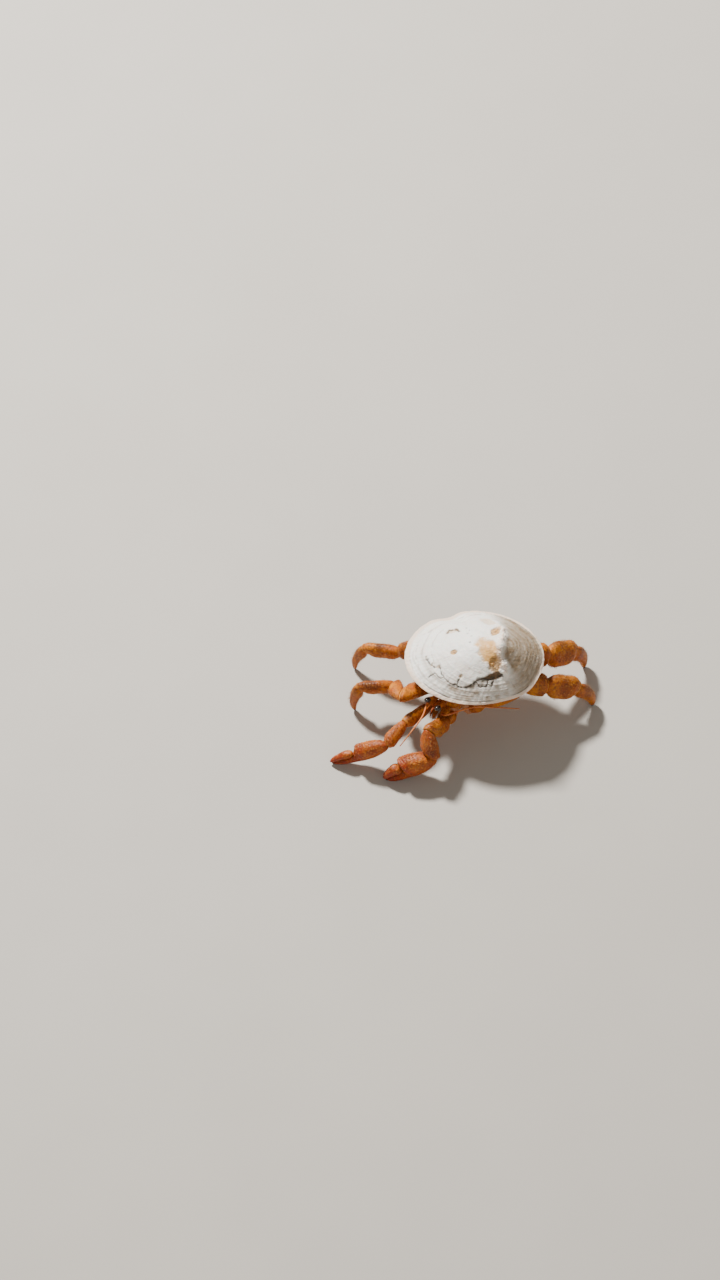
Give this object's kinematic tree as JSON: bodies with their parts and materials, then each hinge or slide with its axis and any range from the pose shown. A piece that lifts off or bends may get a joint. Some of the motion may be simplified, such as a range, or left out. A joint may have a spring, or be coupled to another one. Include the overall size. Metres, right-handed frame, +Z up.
{
  "type": "hermit crab",
  "caption": "Life-size still model of a small hermit crab striding with spread legs under a worn, bleached, cap-shaped sea shell.",
  "frame": {"origin": "on the floor under the middle of the model's reach (centre of the bounding box's base)", "axes": "+Z up; -Y is the way the crab faces and +X is its left; the long axis of the shell and the line of its feet run diagonally"},
  "size_m": [0.042, 0.046, 0.0216],
  "materials": {
    "shell": "worn, bleached and chalky, faintly ribbed",
    "crust": "orange-brown leg shell, satin",
    "claw": "red-orange claw shell, satin, finely pimpled",
    "soft": "soft skin, damp satin",
    "eye": "glossy black",
    "feeler": "thin jointed feelers"
  },
  "bodies": {
    "root": {"abdomen_back": "soft", "abdomen_front": "soft", "antenna_base_left": "crust", "antenna_base_right": "crust", "antenna_left": "feeler", "antenna_right": "feeler", "antennule_left": "feeler", "antennule_right": "feeler", "claw_left_arm": "crust", "claw_left_base": "crust", "claw_left_finger": "claw", "claw_left_palm": "claw", "claw_left_wrist": "claw", "claw_right_arm": "crust", "claw_right_base": "crust", "claw_right_finger": "claw", "claw_right_palm": "claw", "claw_right_wrist": "claw", "eye_left": "eye", "eye_right": "eye", "eyestalk_left": "crust", "eyestalk_right": "crust", "jaw_foot_left": "crust", "jaw_foot_right": "crust", "leg2_left_base": "crust", "leg2_left_carpus": "crust", "leg2_left_dactyl": "crust", "leg2_left_merus": "crust", "leg2_left_propodus": "crust", "leg2_right_base": "crust", "leg2_right_carpus": "crust", "leg2_right_dactyl": "crust", "leg2_right_merus": "crust", "leg2_right_propodus": "crust", "leg3_left_base": "crust", "leg3_left_carpus": "crust", "leg3_left_dactyl": "crust", "leg3_left_merus": "crust", "leg3_left_propodus": "crust", "leg3_right_base": "crust", "leg3_right_carpus": "crust", "leg3_right_dactyl": "crust", "leg3_right_merus": "crust", "leg3_right_propodus": "crust", "leg4_left": "crust", "leg4_right": "crust", "leg5_left": "crust", "leg5_right": "crust", "rear_carapace": "soft", "shell": "shell", "shield": "crust", "sternum": "soft", "tail_fan": "claw"}
  },
  "joints": []
}
